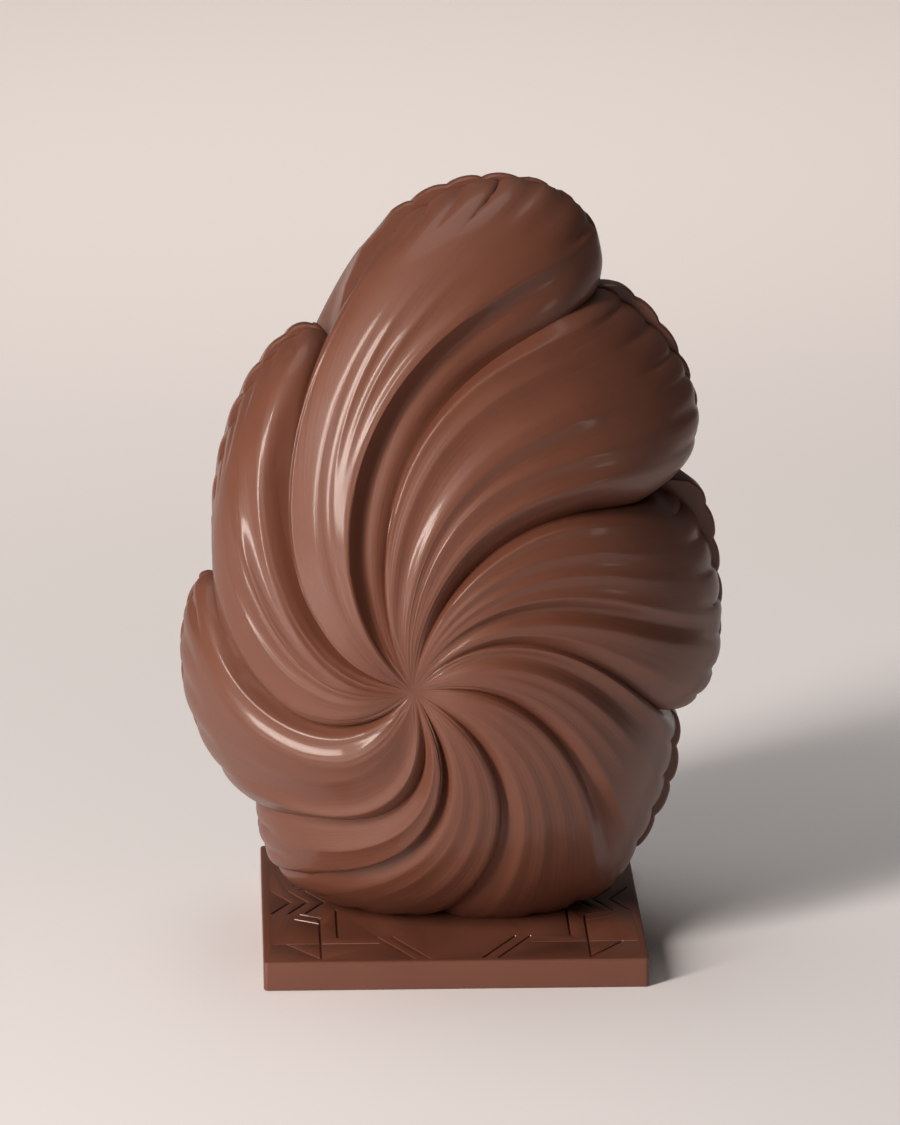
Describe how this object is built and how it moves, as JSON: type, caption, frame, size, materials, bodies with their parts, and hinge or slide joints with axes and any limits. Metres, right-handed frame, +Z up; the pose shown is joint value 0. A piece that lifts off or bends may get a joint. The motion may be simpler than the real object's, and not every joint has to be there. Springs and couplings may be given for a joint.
{
  "type": "chocolate egg",
  "caption": "Moulded milk chocolate egg of two half shells, each a whirl of overlapping fluted plumes with a scalloped rim, standing upright on a thin square chocolate tablet.",
  "frame": {"origin": "middle of the tablet's underside, which is also the bottom centre of the whole", "axes": "+Z up, -Y out of the shown face of the egg, the seam between the two half shells in the plane y = 0, +X to the viewer's right"},
  "size_m": [0.1431, 0.1064, 0.205],
  "materials": {
    "egg_chocolate": "tempered milk chocolate with a satin sheen, brighter on the crests",
    "tablet_chocolate": "tempered milk chocolate with a satin sheen"
  },
  "bodies": {
    "root": {"egg_front_half": "egg_chocolate", "egg_back_half": "egg_chocolate", "chocolate_tablet": "tablet_chocolate"}
  },
  "joints": []
}
